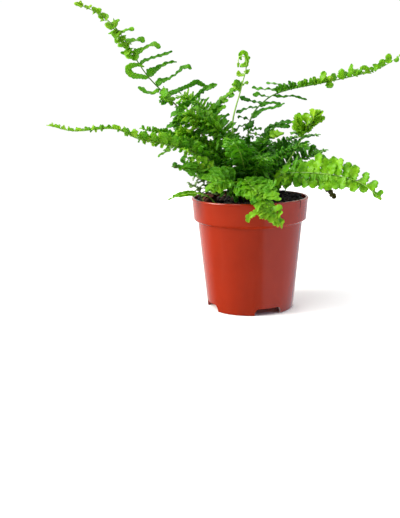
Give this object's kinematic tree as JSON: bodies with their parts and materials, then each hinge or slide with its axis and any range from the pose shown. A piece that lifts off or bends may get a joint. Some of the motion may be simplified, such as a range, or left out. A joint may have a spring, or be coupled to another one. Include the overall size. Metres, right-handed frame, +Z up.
{
  "type": "potted fern",
  "caption": "Young fern with ruffled, arching fronds growing in a small round nursery pot filled with dark soil.",
  "frame": {"origin": "centre of the bounding box's bottom, which is the centre of the pot's foot", "axes": "+Z up, -Y the front of the plant as pictured, +X to the right, along the widest spread of the fronds"},
  "size_m": [0.1886, 0.1234, 0.153],
  "materials": {
    "pot": "satin orange-red moulded plastic",
    "soil": "loose dark potting soil",
    "crown": "rough brown rootstock",
    "bark": "rough reddish bark",
    "leaf_light": "soft satin leaf, yellow-green",
    "leaf_mid": "soft satin leaf, mid green",
    "leaf_dark": "soft satin leaf, dark green",
    "leaf_pale": "soft leaf, pale grey-green"
  },
  "bodies": {
    "root": {"pot": "pot", "soil": "soil", "crown": "crown", "bark_chip": "bark", "frond_tall_left": "leaf_mid", "frond_long_left": "leaf_light", "frond_long_right": "leaf_light", "frond_droop_right": "leaf_light", "frond_front_hanging": "leaf_light", "frond_small_right": "leaf_light", "frond_upright": "leaf_light", "frond_left_front": "leaf_mid", "frond_low_front": "leaf_mid", "frond_towards_front": "leaf_light", "frond_young_centre": "leaf_mid", "frond_left_behind": "leaf_dark", "frond_upper_left": "leaf_mid", "frond_right_behind": "leaf_dark", "frond_right_inner": "leaf_dark", "frond_inner_left": "leaf_mid", "frond_inner_upper_left": "leaf_mid", "frond_inner_front": "leaf_dark", "frond_inner_right": "leaf_dark", "frond_inner_back": "leaf_dark", "frond_back_middle": "leaf_mid", "frond_back_left": "leaf_mid", "frond_back_right": "leaf_dark", "frond_back_low_right": "leaf_mid", "frond_back_low_left": "leaf_dark", "frond_rim_left": "leaf_light", "frond_baby_left": "leaf_pale", "frond_baby_middle": "leaf_pale", "frond_baby_right": "leaf_pale"}
  },
  "joints": []
}
